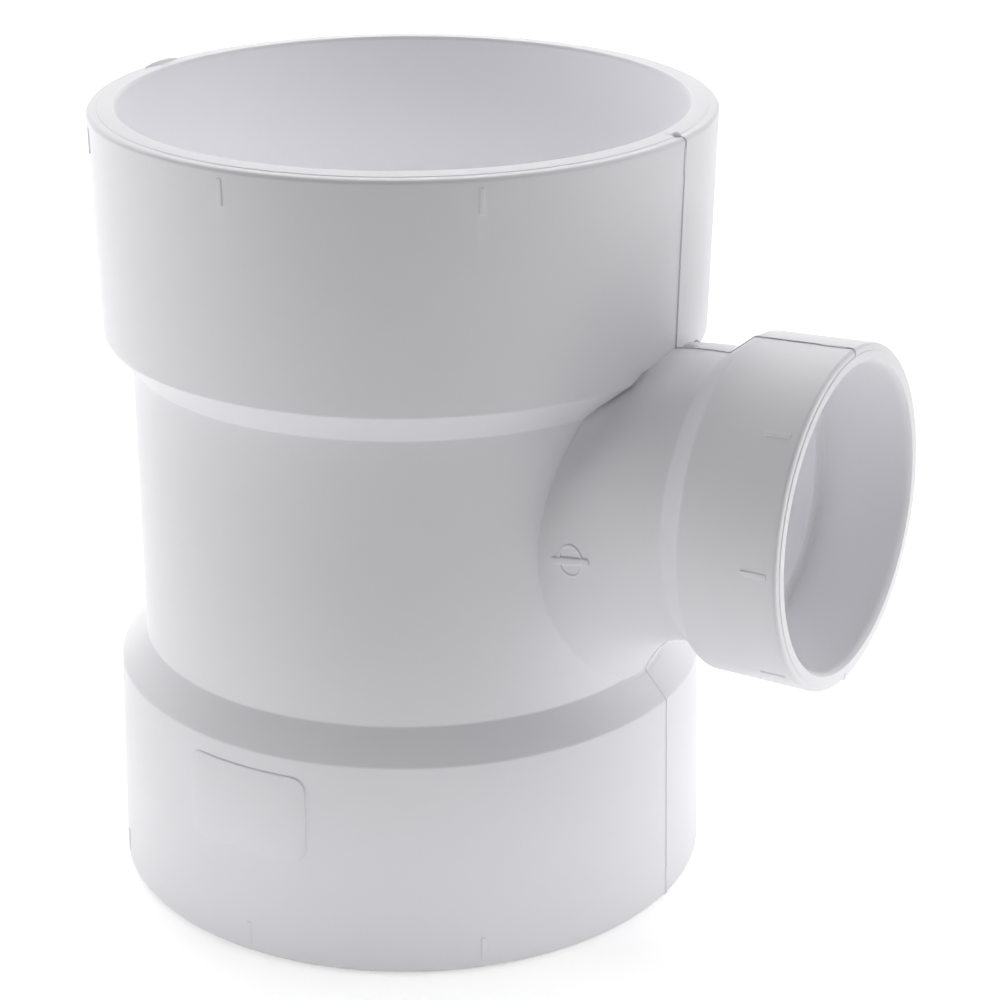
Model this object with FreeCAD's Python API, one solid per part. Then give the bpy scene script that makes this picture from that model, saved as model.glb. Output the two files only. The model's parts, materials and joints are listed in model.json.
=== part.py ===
"""Sanitary tee for 4 in drain pipe with a 2 in side inlet, moulded in one piece.

The run stands upright, the side inlet looks along +X and rises with the usual
drainage pitch of 1 in 48. The origin is the centre of the lower socket's mouth.
"""
import FreeCAD, Part
import math
import os
from FreeCAD import Vector

# Sockets: the real ones taper by a few tenths, and this is the mean of each taper
RUN_SOCKET_RADIUS = 57.22
RUN_SOCKET_DEPTH = 44.45
BRANCH_SOCKET_RADIUS = 30.22
BRANCH_SOCKET_DEPTH = 19.05

# Waterway: the bores between the pipe stops
RUN_BORE_RADIUS = 50.7
BRANCH_BORE_RADIUS = 26.0
RUN_STOP_GAP = 76.4

# Walls
BARREL_WALL = 6.02
NECK_WALL = 3.7
RUN_HUB_WALL = 6.13
BRANCH_HUB_WALL = 4.11
HUB_DRAFT_DEG = 1.4

# Hubs: how far each runs on past its pipe stop, and the slope of its shoulder
RUN_HUB_OVERRUN = 1.75
RUN_SHOULDER_LENGTH = 6.4
BRANCH_HUB_OVERRUN = 1.85
BRANCH_SHOULDER_LENGTH = 5.2

# Branch: where its axis leaves the run, and how it turns down into the flow
BRANCH_HEIGHT = 48.0
BRANCH_STOP_DISTANCE = 81.85
BRANCH_PITCH = 1.0 / 48.0
NECK_STRAIGHT = 1.4
SWEEP_INSET = 0.6
SWEEP_ANGLE = 90.0
SWEEP_ARCS = 8

# Rounded edges
RIM_OUTER_ROUND = 2.0
RUN_MOUTH_ROUND = 1.1
BRANCH_RIM_OUTER_ROUND = 1.5
BRANCH_MOUTH_ROUND = 0.9
EDGE_FLATS = 2

# Raised alignment marks around each hub
MARK_COUNT = 8
MARK_LENGTH = 4.8
MARK_WIDTH = 0.7
MARK_INSET = 2.4
MARK_RISE = 0.3

# Derived sizes
RUN_LENGTH = 2 * RUN_SOCKET_DEPTH + RUN_STOP_GAP
BARREL_RADIUS = RUN_BORE_RADIUS + BARREL_WALL
NECK_RADIUS = BRANCH_BORE_RADIUS + NECK_WALL
RUN_HUB_RADIUS = RUN_SOCKET_RADIUS + RUN_HUB_WALL
BRANCH_HUB_RADIUS = BRANCH_SOCKET_RADIUS + BRANCH_HUB_WALL
RUN_HUB_LENGTH = RUN_SOCKET_DEPTH + RUN_HUB_OVERRUN
BRANCH_HUB_LENGTH = BRANCH_SOCKET_DEPTH + BRANCH_HUB_OVERRUN
BRANCH_MOUTH = BRANCH_STOP_DISTANCE + BRANCH_SOCKET_DEPTH
BRANCH_AXIS_Z = RUN_SOCKET_DEPTH + BRANCH_HEIGHT
PITCH_DEG = math.degrees(math.atan(BRANCH_PITCH))
TAPER = math.tan(math.radians(HUB_DRAFT_DEG))
NECK_END = BRANCH_MOUTH - BRANCH_HUB_LENGTH - BRANCH_SHOULDER_LENGTH
SWEEP_START = NECK_END - NECK_STRAIGHT
UP = Vector(0, 0, 1)
CENTRE = Vector(0, 0, 0)


def turned(points):
    """Solid of revolution about Z from (radius, height) points of its outline."""
    corners = [Vector(radius, 0, height) for radius, height in points]
    outline = Part.makePolygon(corners + corners[:1])
    return Part.Face(outline).revolve(CENTRE, UP, 360)


def eased_edge(radius, height, ease, out):
    """Points of a quarter round in flats, from the wall up to the end face.

    out is 1 for an outer edge and -1 for the edge of a mouth.
    """
    points = []
    for step in range(EDGE_FLATS + 1):
        angle = math.radians(90 * step / EDGE_FLATS)
        across = radius - out * ease * (1 - math.cos(angle))
        points.append((across, height - ease * (1 - math.sin(angle))))
    return points


def place_on_branch(shape):
    """Moves a shape built along Z onto the pitched branch axis."""
    placed = shape.copy()
    turn = FreeCAD.Rotation(Vector(0, 1, 0), 90 - PITCH_DEG)
    placed.Placement = FreeCAD.Placement(Vector(0, 0, BRANCH_AXIS_Z), turn).multiply(placed.Placement)
    return placed


def run_outside():
    """Both hubs, their shoulders and the barrel, as one turned body."""
    hub_foot = RUN_HUB_RADIUS - RUN_HUB_LENGTH * TAPER
    shoulder_end = RUN_HUB_LENGTH + RUN_SHOULDER_LENGTH
    upper = [(BARREL_RADIUS, RUN_LENGTH - shoulder_end), (hub_foot, RUN_LENGTH - RUN_HUB_LENGTH)]
    upper += eased_edge(RUN_HUB_RADIUS, RUN_LENGTH, RIM_OUTER_ROUND, 1)
    upper.append((0, RUN_LENGTH))
    lower = [(radius, RUN_LENGTH - height) for radius, height in reversed(upper)]
    return turned(lower + upper)


def sweep_radius(tube_radius, wall_radius):
    """Centre line radius that turns a tube down to lie just inside a wall."""
    pitch = math.radians(PITCH_DEG)
    reach = SWEEP_START * math.cos(pitch) + tube_radius - wall_radius + SWEEP_INSET
    return reach / (1 - math.sin(pitch))


def swept_turn(tube_radius, wall_radius):
    """Quarter bend from the neck down into the run, built along the branch axis.

    Its circle is drawn in several arcs, so that each swept face stays a light one.
    """
    start = Vector(0, 0, SWEEP_START)
    circle = Part.Circle(start, UP, tube_radius)
    ends = [2 * math.pi * step / SWEEP_ARCS for step in range(SWEEP_ARCS + 1)]
    arcs = [Part.Arc(circle, first, last).toShape() for first, last in zip(ends, ends[1:])]
    turn_centre = start + Vector(sweep_radius(tube_radius, wall_radius), 0, 0)
    return Part.Face(Part.Wire(arcs)).revolve(turn_centre, Vector(0, -1, 0), SWEEP_ANGLE)


def branch_outside():
    """Branch hub with its shoulder and the straight start of the neck."""
    hub_start = BRANCH_MOUTH - BRANCH_HUB_LENGTH
    hub_foot = BRANCH_HUB_RADIUS - BRANCH_HUB_LENGTH * TAPER
    outline = [(0, SWEEP_START), (NECK_RADIUS, SWEEP_START), (NECK_RADIUS, NECK_END), (hub_foot, hub_start)]
    outline += eased_edge(BRANCH_HUB_RADIUS, BRANCH_MOUTH, BRANCH_RIM_OUTER_ROUND, 1)
    outline.append((0, BRANCH_MOUTH))
    return turned(outline)


def mouth_lead_in(socket_radius, mouth, ease):
    """Points of a socket's eased mouth, run on past the rim to cut cleanly."""
    lead_in = eased_edge(socket_radius, mouth, ease, -1)
    (last_radius, last_height), (end_radius, end_height) = lead_in[-2:]
    return lead_in + [(2 * end_radius - last_radius, 2 * end_height - last_height)]


def run_void():
    """Both run sockets and the waterway between their stops."""
    stop = RUN_LENGTH - RUN_SOCKET_DEPTH
    upper = [(RUN_BORE_RADIUS, stop), (RUN_SOCKET_RADIUS, stop)]
    upper += mouth_lead_in(RUN_SOCKET_RADIUS, RUN_LENGTH, RUN_MOUTH_ROUND)
    upper.append((0, upper[-1][1]))
    lower = [(radius, RUN_LENGTH - height) for radius, height in reversed(upper)]
    return turned(lower + upper)


def branch_void():
    """Branch socket and the swept waterway, built along the branch axis."""
    outline = [(0, SWEEP_START), (BRANCH_BORE_RADIUS, SWEEP_START)]
    outline += [(BRANCH_BORE_RADIUS, BRANCH_STOP_DISTANCE), (BRANCH_SOCKET_RADIUS, BRANCH_STOP_DISTANCE)]
    outline += mouth_lead_in(BRANCH_SOCKET_RADIUS, BRANCH_MOUTH, BRANCH_MOUTH_ROUND)
    outline.append((0, outline[-1][1]))
    return turned(outline).fuse(swept_turn(BRANCH_BORE_RADIUS, RUN_BORE_RADIUS))


def hub_marks(hub_radius, mouth, into_hub):
    """Raised marks around a hub; into_hub is the way along Z from its mouth."""
    middle_inset = MARK_INSET + MARK_LENGTH / 2
    surface_radius = hub_radius - middle_inset * TAPER
    low = mouth + into_hub * middle_inset - MARK_LENGTH / 2
    corner = Vector(surface_radius - MARK_RISE, -MARK_WIDTH / 2, low)
    mark = Part.makeBox(2 * MARK_RISE, MARK_WIDTH, MARK_LENGTH, corner)
    return [mark.rotated(CENTRE, UP, index * 360 / MARK_COUNT) for index in range(MARK_COUNT)]


def sanitary_tee():
    """The whole moulding."""
    outside = run_outside().fuse([
        place_on_branch(swept_turn(NECK_RADIUS, BARREL_RADIUS)),
        place_on_branch(branch_outside()),
    ])
    body = outside.cut(run_void()).cut(place_on_branch(branch_void()))
    marks = hub_marks(RUN_HUB_RADIUS, 0, 1) + hub_marks(RUN_HUB_RADIUS, RUN_LENGTH, -1)
    for mark in hub_marks(BRANCH_HUB_RADIUS, BRANCH_MOUTH, -1):
        marks.append(place_on_branch(mark))
    return body.fuse(marks)


tee = sanitary_tee()
print("valid", tee.isValid(), "solids", len(tee.Solids), "faces", len(tee.Faces))
print("volume cm3", round(tee.Volume / 1000, 1), "box", tee.BoundBox)
os.makedirs("parts", exist_ok=True)
tee.exportStep("parts/sanitary_tee.step")
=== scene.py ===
# %% [markdown]
# # A moulded pipe fitting: an upright run with a swept side inlet
#
# The object is one plastic moulding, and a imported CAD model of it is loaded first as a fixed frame.
# The CAD model has the true sizes and the raised marks, but its edges are eased in flats, and it has
# no parting line, panel or gate mark. This lesson builds the same body again at full finish: rounded
# rims, the fine line where the two mould halves met, and a satin white plastic. Sizes come from the
# frame's record where it has them.

# %% Load the frame
import bmesh
import bpy
import json
import math
from mathutils import Matrix, Vector


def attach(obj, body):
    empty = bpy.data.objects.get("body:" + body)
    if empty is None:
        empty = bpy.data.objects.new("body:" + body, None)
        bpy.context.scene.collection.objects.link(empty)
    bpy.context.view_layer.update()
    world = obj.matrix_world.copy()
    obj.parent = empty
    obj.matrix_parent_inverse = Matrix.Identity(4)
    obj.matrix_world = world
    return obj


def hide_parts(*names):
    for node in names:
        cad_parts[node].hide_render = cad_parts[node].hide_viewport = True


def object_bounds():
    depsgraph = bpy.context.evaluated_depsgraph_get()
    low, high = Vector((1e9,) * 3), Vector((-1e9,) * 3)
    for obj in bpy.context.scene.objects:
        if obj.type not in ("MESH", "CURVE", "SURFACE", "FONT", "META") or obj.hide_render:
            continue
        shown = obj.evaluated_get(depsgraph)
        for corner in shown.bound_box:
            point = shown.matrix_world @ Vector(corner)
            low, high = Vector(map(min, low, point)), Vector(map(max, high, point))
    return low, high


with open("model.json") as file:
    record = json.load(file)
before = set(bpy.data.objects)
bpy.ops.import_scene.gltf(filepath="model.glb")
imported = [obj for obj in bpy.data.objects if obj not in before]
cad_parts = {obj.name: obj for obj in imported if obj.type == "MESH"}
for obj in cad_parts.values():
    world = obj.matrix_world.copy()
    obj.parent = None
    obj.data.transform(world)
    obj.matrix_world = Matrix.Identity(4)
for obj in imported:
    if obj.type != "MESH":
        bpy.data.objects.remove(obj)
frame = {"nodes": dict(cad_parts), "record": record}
cad_low, cad_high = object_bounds()
mounts = {mount["name"]: mount for mount in frame["record"]["mounts"]}
print("frame nodes", sorted(frame["nodes"]), "box", cad_low, cad_high)

# %% [markdown]
# ## Sizes
#
# Shapes are written in millimetres, as on a drawing, and turned into metres once, when a mesh is
# finished. The sockets' radii, the run's length and the inlet's axis are read from the frame, so they
# can't drift from it. The rest are the wall, hub and neck sizes that the drawing gives.

# %% Sizes from the frame
MM = 0.001
RUN_LENGTH = (cad_high.z - cad_low.z) / MM
RUN_SOCKET_RADIUS = mounts["lower_socket"]["dims"]["r_mm"]
BRANCH_SOCKET_RADIUS = mounts["branch_socket"]["dims"]["r_mm"]
branch_axis = Vector(mounts["branch_socket"]["axis"])
branch_point = Vector(mounts["branch_socket"]["pos_m"]) / MM
PITCH = math.atan2(branch_axis.z, branch_axis.x)
BRANCH_AXIS_Z = branch_point.z - branch_point.x * math.tan(PITCH)
print("run length", round(RUN_LENGTH, 2), "branch axis height", round(BRANCH_AXIS_Z, 2))

# %% Sizes of the run
RUN_SOCKET_DEPTH = 44.45
RUN_SOCKET_TAPER = 0.2
RUN_BORE_RADIUS = 50.7
BARREL_RADIUS = 56.72
RUN_HUB_RADIUS = 63.35
RUN_HUB_FOOT = 62.22
RUN_HUB_LENGTH = 46.2
RUN_SHOULDER_LENGTH = 6.4
print("barrel wall", round(BARREL_RADIUS - RUN_BORE_RADIUS, 2))

# %% Sizes of the inlet and its turn
BRANCH_SOCKET_DEPTH = 19.05
BRANCH_SOCKET_TAPER = 0.12
BRANCH_MOUTH = 100.9
BRANCH_BORE_RADIUS = 26.0
NECK_RADIUS = 29.7
BRANCH_HUB_RADIUS = 34.33
BRANCH_HUB_FOOT = 33.82
BRANCH_HUB_LENGTH = 20.9
BRANCH_SHOULDER_LENGTH = 5.2
SWEEP_START = 73.4
SWEEP_INSET = 0.6
print("neck wall", round(NECK_RADIUS - BRANCH_BORE_RADIUS, 2))

# %% [markdown]
# ## Turned sections
#
# Every hub, socket and bore on the fitting is round, so each comes from a half section spun about an
# axis. The section is a face with one corner per drawing point, and a vertex bevel rounds each corner
# that the mould has rounded. A spin then makes the solid. Spinning one section keeps walls and rims
# exactly concentric, which separate cylinders would leave to chance.

# %% How finely round things are cut
RUN_STEPS = 256
NECK_STEPS = 160
SWEEP_STEPS = 48
RING_STEPS = 64
CORNER_SEGMENTS = 6
NEAR = 0.001
CUT_NEAR = 1e-5
print("one step of the run", round(2 * math.pi * RUN_HUB_RADIUS / RUN_STEPS, 2), "mm")


# %% Section
def corner_reach(before, corner, after, radius):
    """How far a round of this radius reaches along the two edges of a corner."""
    one = (before - corner).normalized()
    other = (after - corner).normalized()
    return radius / math.tan(one.angle(other) / 2)


def section_mesh(points):
    """A face in the XZ plane from (radius, height, round) points, with its corners rounded."""
    bm = bmesh.new()
    places = [Vector((radius, 0, height)) for radius, height, _ in points]
    corners = [bm.verts.new(place) for place in places]
    bm.faces.new(corners)
    for index, (_, _, ease) in enumerate(points):
        if not ease:
            continue
        after = places[(index + 1) % len(places)]
        reach = corner_reach(places[index - 1], places[index], after, ease)
        bmesh.ops.bevel(bm, geom=[corners[index]], offset=reach, offset_type="OFFSET",
                        segments=CORNER_SEGMENTS, profile=0.5, affect="VERTICES", material=-1)
    return bm


# %% Spin
def everything(bm):
    """All the vertices, edges and faces of a mesh, as the operators want them."""
    return bm.verts[:] + bm.edges[:] + bm.faces[:]


def open_edges(bm):
    """The edges round the mesh's holes."""
    return [edge for edge in bm.edges if edge.is_boundary]


def spin_section(points, steps, open_height=None):
    """The section spun about Z; an open height leaves that end of the solid without a cap."""
    bm = section_mesh(points)
    bmesh.ops.delete(bm, geom=bm.faces[:], context="FACES_ONLY")
    unused = [e for e in bm.edges if all(abs(v.co.x) < NEAR for v in e.verts)]
    if open_height is not None:
        unused += [e for e in bm.edges if all(abs(v.co.z - open_height) < NEAR for v in e.verts)]
    bmesh.ops.delete(bm, geom=unused, context="EDGES")
    bmesh.ops.spin(bm, geom=bm.verts[:] + bm.edges[:], cent=(0, 0, 0), axis=(0, 0, 1),
                   angle=2 * math.pi, steps=steps, use_merge=True)
    bmesh.ops.remove_doubles(bm, verts=bm.verts[:], dist=NEAR)
    bmesh.ops.recalc_face_normals(bm, faces=bm.faces[:])
    return bm


# %% [markdown]
# ## The run
#
# The run is a pipe with a hub at each end. A hub's wall leans in by a little over a degree from its
# rim to its foot. Its rim has two rings: a land round the mouth, which falls a little to its edge, and
# a rounded outer ring that lies lower, because another part of the mould shaped it. The lower half is
# the upper one mirrored.

# %% Outside of the run
RUN_LAND_RADIUS = 61.25
RUN_LAND_TOP_RADIUS = 58.0
RUN_LAND_FALL = 0.35
RUN_LAND_STEP = 0.14
RUN_LAND_EASE = 0.12
RUN_RIM_ROUND = 1.0
HUB_EDGE_ROUND = 0.9
SHOULDER_FILLET = 0.8
RIM_SHARE = 0.5


def mirrored(upper):
    """Both halves of the run's section, from the bottom up, for points of its upper half."""
    lower = [(radius, RUN_LENGTH - height, ease) for radius, height, ease in reversed(upper)]
    return lower + upper


def run_outside(grow=0.0):
    """Section points outside, barrel to top; grow makes the walls larger and the rim by a share of it."""
    hub_foot = RUN_LENGTH - RUN_HUB_LENGTH
    band = RUN_LENGTH - RUN_LAND_FALL + RIM_SHARE * grow
    return [
        (BARREL_RADIUS + grow, hub_foot - RUN_SHOULDER_LENGTH, SHOULDER_FILLET),
        (RUN_HUB_FOOT + grow, hub_foot, HUB_EDGE_ROUND),
        (RUN_HUB_RADIUS + grow, band, RUN_RIM_ROUND),
        (RUN_LAND_RADIUS, band, RUN_LAND_EASE),
        (RUN_LAND_RADIUS - RUN_LAND_EASE, band + RUN_LAND_STEP, RUN_LAND_EASE),
        (RUN_LAND_TOP_RADIUS, RUN_LENGTH, 0),
        (0, RUN_LENGTH, 0),
    ]


run_body = spin_section(mirrored(run_outside()), RUN_STEPS)
print("run outside", len(run_body.faces), "faces")

# %% [markdown]
# ## The space in the run
#
# What is cut out of the run is made as a solid of its own: the bore, the two sockets and the slope
# that leads a pipe into each. The slope runs on past the rim, because a cutter that ends in the same
# plane as the body can leave a skin there.

# %% Inside of the run
RUN_MOUTH_EASE = 0.45
RUN_MOUTH_ROUND = 0.8
STOP_ROUND = 0.4
FLARE = 0.5
OVERRUN = 6.0


def run_inside():
    """Section points of the space inside, from the middle to past the top."""
    stop = RUN_LENGTH - RUN_SOCKET_DEPTH
    mouth = RUN_SOCKET_RADIUS + RUN_SOCKET_TAPER
    return [
        (RUN_BORE_RADIUS, stop, STOP_ROUND),
        (RUN_SOCKET_RADIUS - RUN_SOCKET_TAPER, stop, STOP_ROUND),
        (mouth, RUN_LENGTH - RUN_MOUTH_EASE, RUN_MOUTH_ROUND),
        (mouth + RUN_MOUTH_EASE + FLARE, RUN_LENGTH + FLARE, 0),
        (mouth + RUN_MOUTH_EASE + FLARE, RUN_LENGTH + OVERRUN, 0),
        (0, RUN_LENGTH + OVERRUN, 0),
    ]


run_space = spin_section(mirrored(run_inside()), RUN_STEPS)
print("run inside", len(run_space.faces), "faces")

# %% [markdown]
# ## The side inlet
#
# The inlet is a hub on a short neck, and the neck turns down into the run so that what flows in is
# sent the right way. It is built along Z and then laid over onto its pitched axis. The hub is spun
# about its own axis with its inner end left open. The open ring is spun again, about the centre of
# the turn, so hub and bend share their vertices and the neck has no seam.

# %% A spun hub with a swept turn
INLET_PLACE = Matrix.Translation((0, 0, BRANCH_AXIS_Z)) @ Matrix.Rotation(math.pi / 2 - PITCH, 4, "Y")


def lay_over(bm):
    """Turns a mesh built along Z onto the pitched axis of the inlet."""
    bmesh.ops.transform(bm, matrix=INLET_PLACE, verts=bm.verts[:])


def sweep_radius(tube, wall):
    """Centre line radius of a turn that brings a tube down just inside a round wall."""
    reach = SWEEP_START * math.cos(PITCH) + tube - wall + SWEEP_INSET
    return reach / (1 - math.sin(PITCH))


def swept_hub(points, tube, wall):
    """A hub spun from its section, with the turn that goes on from its open end."""
    bm = spin_section(points, NECK_STEPS, open_height=SWEEP_START)
    ring = open_edges(bm)
    ring_verts = list({vert for edge in ring for vert in edge.verts})
    bmesh.ops.spin(bm, geom=ring_verts + ring, cent=(sweep_radius(tube, wall), 0, SWEEP_START),
                   axis=(0, -1, 0), angle=math.pi / 2, steps=SWEEP_STEPS)
    bmesh.ops.remove_doubles(bm, verts=bm.verts[:], dist=NEAR)
    bmesh.ops.holes_fill(bm, edges=open_edges(bm))
    bmesh.ops.recalc_face_normals(bm, faces=bm.faces[:])
    lay_over(bm)
    return bm


print("turn radius", round(sweep_radius(NECK_RADIUS, BARREL_RADIUS), 2), "mm")

# %% Outside of the inlet
BRANCH_LAND_RADIUS = 32.9
BRANCH_LAND_STEP = 0.2
BRANCH_LAND_EASE = 0.08
BRANCH_LAND_ROUND = 0.1
BRANCH_RIM_ROUND = 0.8
NECK_FILLET = 1.2


def branch_outside(grow=0.0):
    """Section points outside the inlet, from the neck to the mouth; grow is as for the run."""
    hub_foot = BRANCH_MOUTH - BRANCH_HUB_LENGTH
    band = BRANCH_MOUTH - BRANCH_LAND_STEP + RIM_SHARE * grow
    return [
        (0, SWEEP_START, 0),
        (NECK_RADIUS + grow, SWEEP_START, 0),
        (NECK_RADIUS + grow, hub_foot - BRANCH_SHOULDER_LENGTH, NECK_FILLET),
        (BRANCH_HUB_FOOT + grow, hub_foot, HUB_EDGE_ROUND),
        (BRANCH_HUB_RADIUS + grow, band, BRANCH_RIM_ROUND),
        (BRANCH_LAND_RADIUS, band, BRANCH_LAND_EASE),
        (BRANCH_LAND_RADIUS - BRANCH_LAND_EASE, BRANCH_MOUTH, BRANCH_LAND_ROUND),
        (0, BRANCH_MOUTH, 0),
    ]


def inlet_solid(grow=0.0):
    """The inlet's hub, neck and turn, all larger by grow."""
    return swept_hub(branch_outside(grow), NECK_RADIUS + grow, BARREL_RADIUS + grow)


branch_body = inlet_solid()
print("inlet outside", len(branch_body.faces), "faces")

# %% Inside of the inlet
BRANCH_MOUTH_EASE = 0.8
BRANCH_MOUTH_ROUND = 1.6


def branch_inside():
    """Section points of the space inside the inlet."""
    stop = BRANCH_MOUTH - BRANCH_SOCKET_DEPTH
    mouth = BRANCH_SOCKET_RADIUS + BRANCH_SOCKET_TAPER
    return [
        (0, SWEEP_START, 0),
        (BRANCH_BORE_RADIUS, SWEEP_START, 0),
        (BRANCH_BORE_RADIUS, stop, STOP_ROUND),
        (BRANCH_SOCKET_RADIUS - BRANCH_SOCKET_TAPER, stop, STOP_ROUND),
        (mouth, BRANCH_MOUTH - BRANCH_MOUTH_EASE, BRANCH_MOUTH_ROUND),
        (mouth + BRANCH_MOUTH_EASE + FLARE, BRANCH_MOUTH + FLARE, 0),
        (mouth + BRANCH_MOUTH_EASE + FLARE, BRANCH_MOUTH + OVERRUN, 0),
        (0, BRANCH_MOUTH + OVERRUN, 0),
    ]


branch_space = swept_hub(branch_inside(), BRANCH_BORE_RADIUS, RUN_BORE_RADIUS)
print("inlet inside", len(branch_space.faces), "faces")

# %% [markdown]
# ## The mould's parting line
#
# Two mould halves met on the plane y = 0, and a hair of plastic crept between them. It shows as a
# fine raised line over both hubs, the neck and the rims. A grown copy of the outside, sliced to a
# thin plate by two cuts, gives exactly that line, and it follows every shoulder by itself.

# %% Flash plates
FLASH_RISE = 0.26
FLASH_WIDTH = 0.5


def sliced(bm, half_width):
    """Keeps only what lies within half_width of the parting plane."""
    for side in (1, -1):
        bmesh.ops.bisect_plane(bm, geom=everything(bm), plane_co=(0, side * half_width, 0),
                               plane_no=(0, side, 0), clear_outer=True, dist=CUT_NEAR)
        bmesh.ops.holes_fill(bm, edges=open_edges(bm))
    bmesh.ops.recalc_face_normals(bm, faces=bm.faces[:])
    return bm


run_flash = sliced(spin_section(mirrored(run_outside(FLASH_RISE)), RUN_STEPS), FLASH_WIDTH / 2)
branch_flash = sliced(inlet_solid(FLASH_RISE), FLASH_WIDTH / 2)
print("flash plates", len(run_flash.faces), len(branch_flash.faces), "faces")

# %% [markdown]
# ## Raised marks
#
# Eight short ribs stand round each hub, one every 45 degrees, so that a fitter can line parts up.
# Each is a small block with its edges rounded over, so that one side takes the light and the other
# loses it. It is placed once and then copied round by a spin that duplicates.

# %% One rib
MARK_LENGTH = 5.2
MARK_WIDTH = 1.1
MARK_INSET = 2.2
MARK_RISE = 0.22
MARK_ROUND = 0.9 * MARK_RISE
EDGE_SEGMENTS = 4


def edges_rounded(bm, edges, offset, segments=EDGE_SEGMENTS):
    """Rounds the given edges over."""
    bmesh.ops.bevel(bm, geom=edges, offset=offset, segments=segments, profile=0.5,
                    affect="EDGES", material=-1)


def block(width, depth, height):
    """A block centred on the origin."""
    bm = bmesh.new()
    bmesh.ops.create_cube(bm, size=1)
    bmesh.ops.scale(bm, vec=(width, depth, height), verts=bm.verts[:])
    return bm


def rib(centre):
    """One bevelled rib, long in Z, centred on a point of the hub's wall."""
    bm = block(2 * MARK_RISE, MARK_WIDTH, MARK_LENGTH)
    outer = [e for e in bm.edges if all(v.co.x > 0 for v in e.verts)]
    edges_rounded(bm, outer, MARK_ROUND)
    bmesh.ops.translate(bm, vec=centre, verts=bm.verts[:])
    return bm


# %% Ribs round a hub
MARK_COUNT = 8


def ribs(hub_radius, hub_foot, hub_length, mouth, into_hub):
    """All the ribs of a hub; into_hub is the way along Z from its mouth."""
    middle = MARK_INSET + MARK_LENGTH / 2
    wall = hub_radius - (hub_radius - hub_foot) * middle / hub_length
    bm = rib((wall, 0, mouth + into_hub * middle))
    bmesh.ops.spin(bm, geom=everything(bm), cent=(0, 0, 0), axis=(0, 0, 1), use_duplicate=True,
                   angle=2 * math.pi * (MARK_COUNT - 1) / MARK_COUNT, steps=MARK_COUNT - 1)
    return bm


upper_ribs = ribs(RUN_HUB_RADIUS, RUN_HUB_FOOT, RUN_HUB_LENGTH, RUN_LENGTH, -1)
lower_ribs = ribs(RUN_HUB_RADIUS, RUN_HUB_FOOT, RUN_HUB_LENGTH, 0, 1)
branch_ribs = ribs(BRANCH_HUB_RADIUS, BRANCH_HUB_FOOT, BRANCH_HUB_LENGTH, BRANCH_MOUTH, -1)
lay_over(branch_ribs)
print("ribs", len(upper_ribs.faces) + len(lower_ribs.faces) + len(branch_ribs.faces), "faces")

# %% [markdown]
# ## Plates that follow a curved wall
#
# Two more marks stand up from walls that curve. The lower hub has a shallow bare panel with rounded
# corners. The neck has a ring with a bar across it, where plastic entered the mould. A boolean with a
# flat block would stand proud in the middle and vanish at the ends. So each mark is made flat, with
# its edges rounded, and is then bent: its width is laid along the wall, and its height above the wall
# stays as it was. Both bends mirror the mark, because it is drawn looking the other way, so they end
# by turning its faces round.

# %% Flat plates
PLATE_CUT = 1.5
PLATE_CORNER_SEGMENTS = 8


def plate(width, height, rise, corner, edge):
    """A plate in the XZ plane, half of it in the wall, with rounded corners and a rounded face."""
    bm = block(width, 2 * rise, height)
    across = [e for e in bm.edges if abs(e.verts[0].co.y - e.verts[1].co.y) > rise]
    edges_rounded(bm, across, corner, PLATE_CORNER_SEGMENTS)
    face = [e for e in bm.edges if all(v.co.y > 0 for v in e.verts)]
    edges_rounded(bm, face, edge)
    cuts = int(width / 2 / PLATE_CUT)
    for step in range(-cuts, cuts + 1):
        bmesh.ops.bisect_plane(bm, geom=everything(bm), plane_co=(step * PLATE_CUT, 0, 0),
                               plane_no=(1, 0, 0), dist=CUT_NEAR)
    return bm


# %% The bare panel
PANEL_WIDTH = 28.5
PANEL_HEIGHT = 18.6
PANEL_CORNER = 3.0
PANEL_RISE = 0.4
PANEL_EDGE = 0.32
PANEL_MIDDLE = (-0.6, 0, 33.2)


def bent_round_lower_hub(bm):
    """Bends a flat plate round the lower hub, its X along the wall and its Y out of the -Y side."""
    slope = (RUN_HUB_RADIUS - RUN_HUB_FOOT) / RUN_HUB_LENGTH
    for vert in bm.verts:
        angle = vert.co.x / RUN_HUB_RADIUS - math.pi / 2
        radius = RUN_HUB_RADIUS - slope * vert.co.z + vert.co.y
        vert.co = Vector((radius * math.cos(angle), radius * math.sin(angle), vert.co.z))
    bmesh.ops.reverse_faces(bm, faces=bm.faces[:])


panel = plate(PANEL_WIDTH, PANEL_HEIGHT, PANEL_RISE, PANEL_CORNER, PANEL_EDGE)
bmesh.ops.translate(panel, vec=PANEL_MIDDLE, verts=panel.verts[:])
bent_round_lower_hub(panel)
print("panel", len(panel.faces), "faces")

# %% The gate's ring
RING_WIDTH = 5.6
RING_HEIGHT = 7.4
RING_LINE = 0.8
RING_RISE = 0.26
RING_ROUND = 0.45 * RING_LINE


def turned_about(bm, angle, axis):
    """Turns a mesh about an axis through the origin."""
    bmesh.ops.rotate(bm, matrix=Matrix.Rotation(angle, 3, axis), verts=bm.verts[:])


def gate_ring():
    """An oval ring with a rounded face that looks along Y."""
    outer = RING_HEIGHT / 2
    inner = outer - RING_LINE
    bm = spin_section([(inner, -RING_RISE, 0), (outer, -RING_RISE, 0),
                       (outer, RING_RISE, RING_ROUND), (inner, RING_RISE, RING_ROUND)], RING_STEPS)
    turned_about(bm, -math.pi / 2, "X")
    bmesh.ops.scale(bm, vec=(RING_WIDTH / RING_HEIGHT, 1, 1), verts=bm.verts[:])
    return bm


ring = gate_ring()
print("gate ring", len(ring.faces), "faces")

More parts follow.
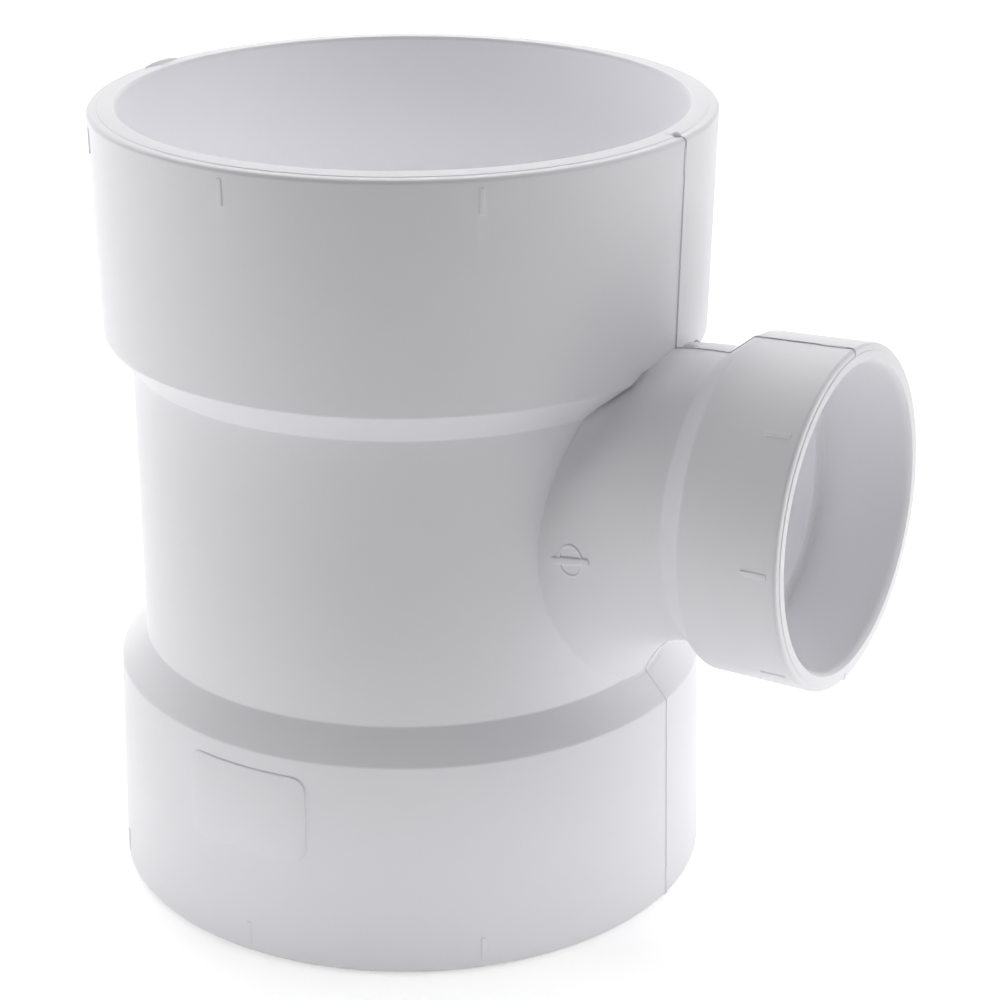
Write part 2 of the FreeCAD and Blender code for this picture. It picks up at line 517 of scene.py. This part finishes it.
# %% The gate's bar
BAR_LENGTH = 8.2
BAR_WIDTH = 1.7
BAR_CORNER = 0.3 * BAR_WIDTH
BAR_RISE = 0.42
BAR_EDGE = 0.9 * BAR_RISE
BAR_TILT = math.radians(6)
bar = plate(BAR_LENGTH, BAR_WIDTH, BAR_RISE, BAR_CORNER, BAR_EDGE)
turned_about(bar, -PITCH - BAR_TILT, "Y")
print("gate bar", len(bar.faces), "faces")

# %% The gate mark on the neck
GATE_MIDDLE = Vector((55.4, 0, 86.7))


def laid_on_neck(bm):
    """Lays a flat mark on the -Y side of the neck, where the neck turns down into the run."""
    turn_radius = sweep_radius(NECK_RADIUS, BARREL_RADIUS)
    turn_centre = INLET_PLACE @ Vector((turn_radius, 0, SWEEP_START))
    bmesh.ops.translate(bm, vec=GATE_MIDDLE, verts=bm.verts[:])
    for vert in bm.verts:
        off_line = math.hypot(vert.co.x - turn_centre.x, vert.co.z - turn_centre.z) - turn_radius
        vert.co.y = -math.sqrt(NECK_RADIUS ** 2 - off_line ** 2) - vert.co.y
    bmesh.ops.reverse_faces(bm, faces=bm.faces[:])


laid_on_neck(ring)
laid_on_neck(bar)
print("gate mark at y", round(min(vert.co.y for vert in bar.verts), 2))

# %% [markdown]
# ## Crumbs of flash
#
# Flash that was trimmed by hand leaves small crumbs at the ends of the parting line. Two lie on the
# upper rim, at the back and above the inlet, and one where the line meets the top of the neck. A
# squashed ball, sunk into the wall, is enough for each, since only its upper part shows.

# %% Crumbs
CRUMB_SEGMENTS = 24
CRUMB_RINGS = 12


def crumb(angle, radius, height, along, across, up):
    """A squashed ball at a place given round the run, and its sizes round it, out of it and up."""
    bm = bmesh.new()
    bmesh.ops.create_uvsphere(bm, u_segments=CRUMB_SEGMENTS, v_segments=CRUMB_RINGS, radius=0.5)
    bmesh.ops.scale(bm, vec=(across, along, up), verts=bm.verts[:])
    bmesh.ops.translate(bm, vec=(radius, 0, height), verts=bm.verts[:])
    turned_about(bm, math.radians(angle), "Z")
    return bm


rim_crumb = crumb(angle=179.0, radius=61.3, height=RUN_LENGTH - 0.35, along=11.0, across=1.6, up=1.8)
seam_crumb = crumb(angle=0.0, radius=61.2, height=RUN_LENGTH - 0.2, along=1.8, across=1.9, up=1.6)
neck_crumb = crumb(angle=0.6, radius=65.4, height=122.7, along=2.6, across=4.0, up=2.9)
print("crumbs", len(rim_crumb.faces) + len(seam_crumb.faces) + len(neck_crumb.faces), "faces")

# %% [markdown]
# ## The crease over the neck
#
# Where the upper shoulder meets the neck there is a fine dark crease, sharper than the corner itself.
# It is a narrow gap that is deepest at the foot of the hub and runs out down the shoulder. A grown
# copy of the neck, less a run whose shoulder lies deeper, has just that shape and is cut from the run
# before the neck is joined on.

# %% Groove
CREASE_WIDTH = 0.7
CREASE_DEPTH = 1.5
CREASE_BOTTOM = 0.2
CREASE_TOP = 2.2
CORE_CLEARANCE = 0.15
CORE_OVERRUN = 1.0


def crease_core():
    """Section points of a run that lies deeper than the real one only near the foot of its hub."""
    hub_foot = RUN_LENGTH - RUN_HUB_LENGTH
    return [
        (BARREL_RADIUS + CORE_CLEARANCE, hub_foot - RUN_SHOULDER_LENGTH, 0),
        (RUN_HUB_FOOT - CREASE_DEPTH, hub_foot + CREASE_BOTTOM, 0),
        (RUN_HUB_FOOT + CORE_CLEARANCE, hub_foot + CREASE_TOP, 0),
        (RUN_HUB_RADIUS + CORE_CLEARANCE, RUN_LENGTH + CORE_OVERRUN, 0),
        (0, RUN_LENGTH + CORE_OVERRUN, 0),
    ]


groove = inlet_solid(CREASE_WIDTH)
groove_core = spin_section(mirrored(crease_core()), RUN_STEPS)
print("groove", len(groove.faces), "faces")

# %% [markdown]
# ## Putting the solids together
#
# The outsides are joined first and the spaces are cut last, so the flash and the ribs can reach into
# the wall without showing inside. The manifold solver takes only closed solids and returns a closed
# solid, which the exact one doesn't promise where a thin plate runs along many facets of a wall.


# %% From millimetres to an object
def as_object(bm, name):
    """The mesh as an object in metres."""
    bmesh.ops.scale(bm, vec=(MM, MM, MM), verts=bm.verts[:])
    mesh = bpy.data.meshes.new(name)
    bm.to_mesh(mesh)
    bm.free()
    obj = bpy.data.objects.new(name, mesh)
    bpy.context.scene.collection.objects.link(obj)
    return obj


tee = as_object(run_body, "tee_body")
print("body starts with", len(tee.data.polygons), "faces")


# %% Joining and cutting
def combine(body, tool, operation):
    """Joins the tool to the body, or cuts it away, and removes the tool."""
    step = body.modifiers.new("step", "BOOLEAN")
    step.operation = operation
    step.solver = "MANIFOLD"
    step.object = tool
    bpy.context.view_layer.update()
    evaluated = body.evaluated_get(bpy.context.evaluated_depsgraph_get())
    result = bpy.data.meshes.new_from_object(evaluated)
    body.modifiers.remove(step)
    body.data = result
    bpy.data.objects.remove(tool)


crease = as_object(groove, "crease")
combine(crease, as_object(groove_core, "groove_core"), "DIFFERENCE")
combine(tee, crease, "DIFFERENCE")
combine(tee, as_object(branch_body, "inlet"), "UNION")
for name, part in (("run_flash", run_flash), ("inlet_flash", branch_flash), ("upper_ribs", upper_ribs),
                   ("lower_ribs", lower_ribs), ("inlet_ribs", branch_ribs), ("panel", panel),
                   ("gate_ring", ring), ("gate_bar", bar), ("rim_crumb", rim_crumb),
                   ("seam_crumb", seam_crumb), ("neck_crumb", neck_crumb)):
    combine(tee, as_object(part, name), "UNION")
combine(tee, as_object(run_space, "run_space"), "DIFFERENCE")
combine(tee, as_object(branch_space, "inlet_space"), "DIFFERENCE")
print("body", len(tee.data.polygons), "faces")

# %% [markdown]
# ## Shading
#
# The many facets of a wall should look like one smooth skin, while a corner that the mould left crisp
# should stay crisp. Smooth shading does the first, and marking every edge above a set angle as sharp
# does the second. The body then rides on the frame's root and stands in for the CAD node.

# %% Smooth shading with crisp corners
SHARP_ANGLE = math.radians(32)
tee.data.polygons.foreach_set("use_smooth", [True] * len(tee.data.polygons))
tee.data.set_sharp_from_angle(angle=SHARP_ANGLE)
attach(tee, "root")
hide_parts("sanitary_tee")
print("body rides on root, with", len(tee.data.vertices), "vertices")

# %% [markdown]
# ## Satin white plastic
#
# The moulding is a rigid white plastic with a satin skin. Its white is not even: it drifts a little
# over a hand's width, and the skin has a faint orange peel. Slow noise drives the colour and the
# roughness, and a fine one feeds a weak bump.


# %% Nodes
def node_tree(owner):
    """Turns on an owner's nodes and gives its node tree."""
    owner.use_nodes = True
    return owner.node_tree


def add_node(tree, kind, **values):
    """A new node; values go to its sockets, with an underscore in a socket's name for a space."""
    node = tree.nodes.new(kind)
    for name, value in values.items():
        node.inputs[name.replace("_", " ")].default_value = value
    return node


def add_math(tree, operation, first, second):
    """A Math node that works on two outputs."""
    node = tree.nodes.new("ShaderNodeMath")
    node.operation = operation
    tree.links.new(first, node.inputs[0])
    tree.links.new(second, node.inputs[1])
    return node


# %% Colour and polish of the plastic
DARKER_WHITE = (0.848, 0.842, 0.872, 1)
LIGHTER_WHITE = (0.872, 0.868, 0.9, 1)
SMOOTHEST = 0.30
ROUGHEST = 0.40
plastic = bpy.data.materials.new("satin_white_plastic")
tree = node_tree(plastic)
shader = tree.nodes["Principled BSDF"]
shader.inputs["IOR"].default_value = 1.5
coordinates = add_node(tree, "ShaderNodeTexCoord")
drift = add_node(tree, "ShaderNodeTexNoise", Scale=14.0, Detail=3.0)
tree.links.new(coordinates.outputs["Object"], drift.inputs["Vector"])
tone = add_node(tree, "ShaderNodeMix")
tone.data_type = "RGBA"
tone.inputs["A"].default_value = DARKER_WHITE
tone.inputs["B"].default_value = LIGHTER_WHITE
tree.links.new(drift.outputs["Fac"], tone.inputs["Factor"])
tree.links.new(tone.outputs["Result"], shader.inputs["Base Color"])
polish = add_node(tree, "ShaderNodeMapRange", To_Min=SMOOTHEST, To_Max=ROUGHEST)
tree.links.new(drift.outputs["Fac"], polish.inputs["Value"])
tree.links.new(polish.outputs["Result"], shader.inputs["Roughness"])
print("plastic roughness", SMOOTHEST, "to", ROUGHEST)

# %% Orange peel of the plastic
PEEL_STRENGTH = 0.04
PEEL_DEPTH = 0.0004
peel = add_node(tree, "ShaderNodeTexNoise", Scale=420.0, Detail=2.0)
tree.links.new(coordinates.outputs["Object"], peel.inputs["Vector"])
bump = add_node(tree, "ShaderNodeBump", Strength=PEEL_STRENGTH, Distance=PEEL_DEPTH)
tree.links.new(peel.outputs["Fac"], bump.inputs["Height"])
tree.links.new(bump.outputs["Normal"], shader.inputs["Normal"])
tee.data.materials.clear()
tee.data.materials.append(plastic)
print("plastic has", len(tree.nodes), "nodes")

# %% [markdown]
# ## Table
#
# The fitting stands on a plain pale table. The camera and whatever mirrors or bends its view see the
# table glow white as well, which no other ray does, so that no extra light falls on the plastic for
# the background's sake. The glow is weaker near the fitting, which keeps the contact shadow, and full
# further out.


# %% Which rays see the white
def seen_directly(tree):
    """An output that is 1 for camera, glossy and transmission rays, and 0 for the rest."""
    path = add_node(tree, "ShaderNodeLightPath")
    either = add_math(tree, "MAXIMUM", path.outputs["Is Camera Ray"], path.outputs["Is Glossy Ray"])
    any_ray = add_math(tree, "MAXIMUM", either.outputs["Value"], path.outputs["Is Transmission Ray"])
    return any_ray.outputs["Value"]


# %% Table
TABLE_SIZE = 6.0
floor_mesh = bmesh.new()
bmesh.ops.create_grid(floor_mesh, x_segments=1, y_segments=1, size=TABLE_SIZE / 2)
floor = bpy.data.objects.new("floor", bpy.data.meshes.new("floor"))
floor_mesh.to_mesh(floor.data)
floor_mesh.free()
bpy.context.scene.collection.objects.link(floor)
print("table", TABLE_SIZE, "m")

# %% Paint of the table
TABLE_WHITE = (0.9, 0.9, 0.9, 1)
TABLE_ROUGHNESS = 0.9
GLOW_NEAR = 0.4
GLOW_FAR = 1.2
GLOW_LEAST = 0.5
WHITE = (1, 1, 1, 1)
paint = bpy.data.materials.new("pale_table")
tree = node_tree(paint)
table_shader = tree.nodes["Principled BSDF"]
table_shader.inputs["Base Color"].default_value = TABLE_WHITE
table_shader.inputs["Roughness"].default_value = TABLE_ROUGHNESS
spot = add_node(tree, "ShaderNodeTexCoord")
distance = add_node(tree, "ShaderNodeVectorMath")
distance.operation = "LENGTH"
tree.links.new(spot.outputs["Object"], distance.inputs[0])
rise = add_node(tree, "ShaderNodeMapRange", From_Min=GLOW_NEAR, From_Max=GLOW_FAR, To_Min=GLOW_LEAST)
tree.links.new(distance.outputs["Value"], rise.inputs["Value"])
seen_glow = add_math(tree, "MULTIPLY", seen_directly(tree), rise.outputs["Result"])
glow = add_node(tree, "ShaderNodeEmission", Color=WHITE)
tree.links.new(seen_glow.outputs["Value"], glow.inputs["Strength"])
both = add_node(tree, "ShaderNodeAddShader")
tree.links.new(table_shader.outputs["BSDF"], both.inputs[0])
tree.links.new(glow.outputs["Emission"], both.inputs[1])
tree.links.new(both.outputs["Shader"], tree.nodes["Material Output"].inputs["Surface"])
floor.data.materials.append(paint)
print("table glows from", GLOW_LEAST, "near the fitting to 1.0 past", GLOW_FAR, "m")

# %% [markdown]
# ## World
#
# The world is white for the same rays as the table's glow, and black for all others, so that the
# lamps alone shape the plastic, apart from the white that its skin mirrors. A mix of two backgrounds,
# picked by the kind of ray, does that without a room or a backdrop to build.

# %% World
world = bpy.data.worlds.new("studio")
bpy.context.scene.world = world
tree = node_tree(world)
room = tree.nodes["Background"]
room.inputs["Color"].default_value = WHITE
room.inputs["Strength"].default_value = 0.0
backdrop = add_node(tree, "ShaderNodeBackground", Color=WHITE, Strength=1.0)
pick = add_node(tree, "ShaderNodeMixShader")
tree.links.new(seen_directly(tree), pick.inputs["Fac"])
tree.links.new(room.outputs["Background"], pick.inputs[1])
tree.links.new(backdrop.outputs["Background"], pick.inputs[2])
tree.links.new(pick.outputs["Shader"], tree.nodes["World Output"].inputs["Surface"])
print("world has", len(tree.nodes), "nodes")

# %% [markdown]
# ## Softboxes
#
# White on white shows its form only where the light is uneven. So the softboxes stand behind, beside
# and above the fitting, and none in front: the sides turn bright and the middle stays grey. They are
# hidden from reflections, because a satin wall seen at a slant would mirror them and its outline
# would melt into the background. It mirrors the even white around it instead.


# %% Softbox
def softbox(name, place, target, width, height, power, spread=180):
    """A rectangular lamp that looks from its place at a target; spread is its beam in degrees."""
    light = bpy.data.lights.new(name, "AREA")
    light.spread = math.radians(spread)
    light.shape = "RECTANGLE"
    light.size = width
    light.size_y = height
    light.energy = power
    lamp = bpy.data.objects.new(name, light)
    lamp.location = place
    lamp.rotation_euler = (Vector(target) - Vector(place)).to_track_quat("-Z", "Y").to_euler()
    lamp.visible_camera = False
    lamp.visible_glossy = False
    bpy.context.scene.collection.objects.link(lamp)


# %% Lamps round the fitting
CAMERA_AZIMUTH = math.radians(30.24)
toward = Vector((math.sin(CAMERA_AZIMUTH), -math.cos(CAMERA_AZIMUTH), 0))
right = Vector((math.cos(CAMERA_AZIMUTH), math.sin(CAMERA_AZIMUTH), 0))


def beside(across, near, height):
    """A place in metres: across to the camera's right, near towards it, and above the table."""
    return across * right + near * toward + Vector((0, 0, height))


MIDDLE = beside(0, 0, 0.08)
softbox("above_back", beside(0, -0.8, 1.1), MIDDLE, 1.0, 1.0, 10.2)
softbox("above_left", beside(-0.8, 0, 1.0), MIDDLE, 0.9, 0.9, 0.62)
softbox("above_right", beside(0.8, 0, 1.0), MIDDLE, 0.9, 0.9, 3.5)
softbox("back_left", beside(-0.8, -0.8, 0.45), MIDDLE, 0.8, 0.8, 3.55)
softbox("left", beside(-1.1, 0, 0.2), MIDDLE, 0.7, 0.5, 4.45)
softbox("right", beside(1.1, 0, 0.4), MIDDLE, 0.8, 0.8, 2.1)

# %% [markdown]
# ## Light from the table
#
# The faces that look down are the brightest in the middle of the fitting, so much of its light comes
# up from the white table. A broad lamp that lies on the table in front gives that. Low strips carry
# light round the foot, and a narrow lamp high above shines down the run's axis. Two small lamps down
# in the run light the upper socket from inside: one narrow, so that it passes the bore beside it, and
# a weak wide one for the inside of the neck.

# %% Lamps on the table
CEILING = beside(0, 0, 3.0)
TABLE_CENTRE = beside(0, 0, 0)
FOOT = beside(0, 0, 0.02)
softbox("table_front", beside(0, 0.36, 0.035), CEILING, 1.0, 0.5, 0.66)
softbox("table_left", beside(-0.36, 0.25, 0.035), CEILING, 0.4, 0.4, 0.11)
softbox("strip_front", beside(0, 0.20, 0.012), TABLE_CENTRE, 0.40, 0.03, 0.031, spread=60)
softbox("strip_right", beside(0.26, 0.05, 0.012), FOOT, 0.30, 0.05, 0.135)
softbox("pool", beside(0, 0, 1.6), TABLE_CENTRE, 0.25, 0.25, 0.056, spread=24)
softbox("upper_glow", beside(0, 0, 0.06), CEILING, 0.06, 0.06, 0.026, spread=120)
softbox("inside_glow", beside(0, 0, 0.05), CEILING, 0.05, 0.05, 0.0135)

# %% [markdown]
# ## Camera
#
# The camera stands where the photograph was taken from. Its place was found by fitting the rims, the
# shoulders and the marks, and the long lens keeps the verticals almost parallel.

# %% Camera
CAMERA_ELEVATION = math.radians(21.906)
CAMERA_DISTANCE = 0.563677
CAMERA_LENS = 95.2
SENSOR_WIDTH = 36
LOOK_AT_ACROSS = 0.019355
LOOK_AT_HEIGHT = 0.077998
look_at = LOOK_AT_ACROSS * right + Vector((0, 0, LOOK_AT_HEIGHT))
direction = math.cos(CAMERA_ELEVATION) * toward + Vector((0, 0, math.sin(CAMERA_ELEVATION)))
camera = bpy.data.objects.new("camera", bpy.data.cameras.new("camera"))
camera.data.sensor_width = SENSOR_WIDTH
camera.data.lens = CAMERA_LENS
camera.location = look_at + CAMERA_DISTANCE * direction
camera.rotation_euler = (-direction).to_track_quat("-Z", "Y").to_euler()
bpy.context.scene.collection.objects.link(camera)
bpy.context.scene.camera = camera
bpy.context.scene.view_settings.view_transform = "Standard"
print("camera at", camera.location)
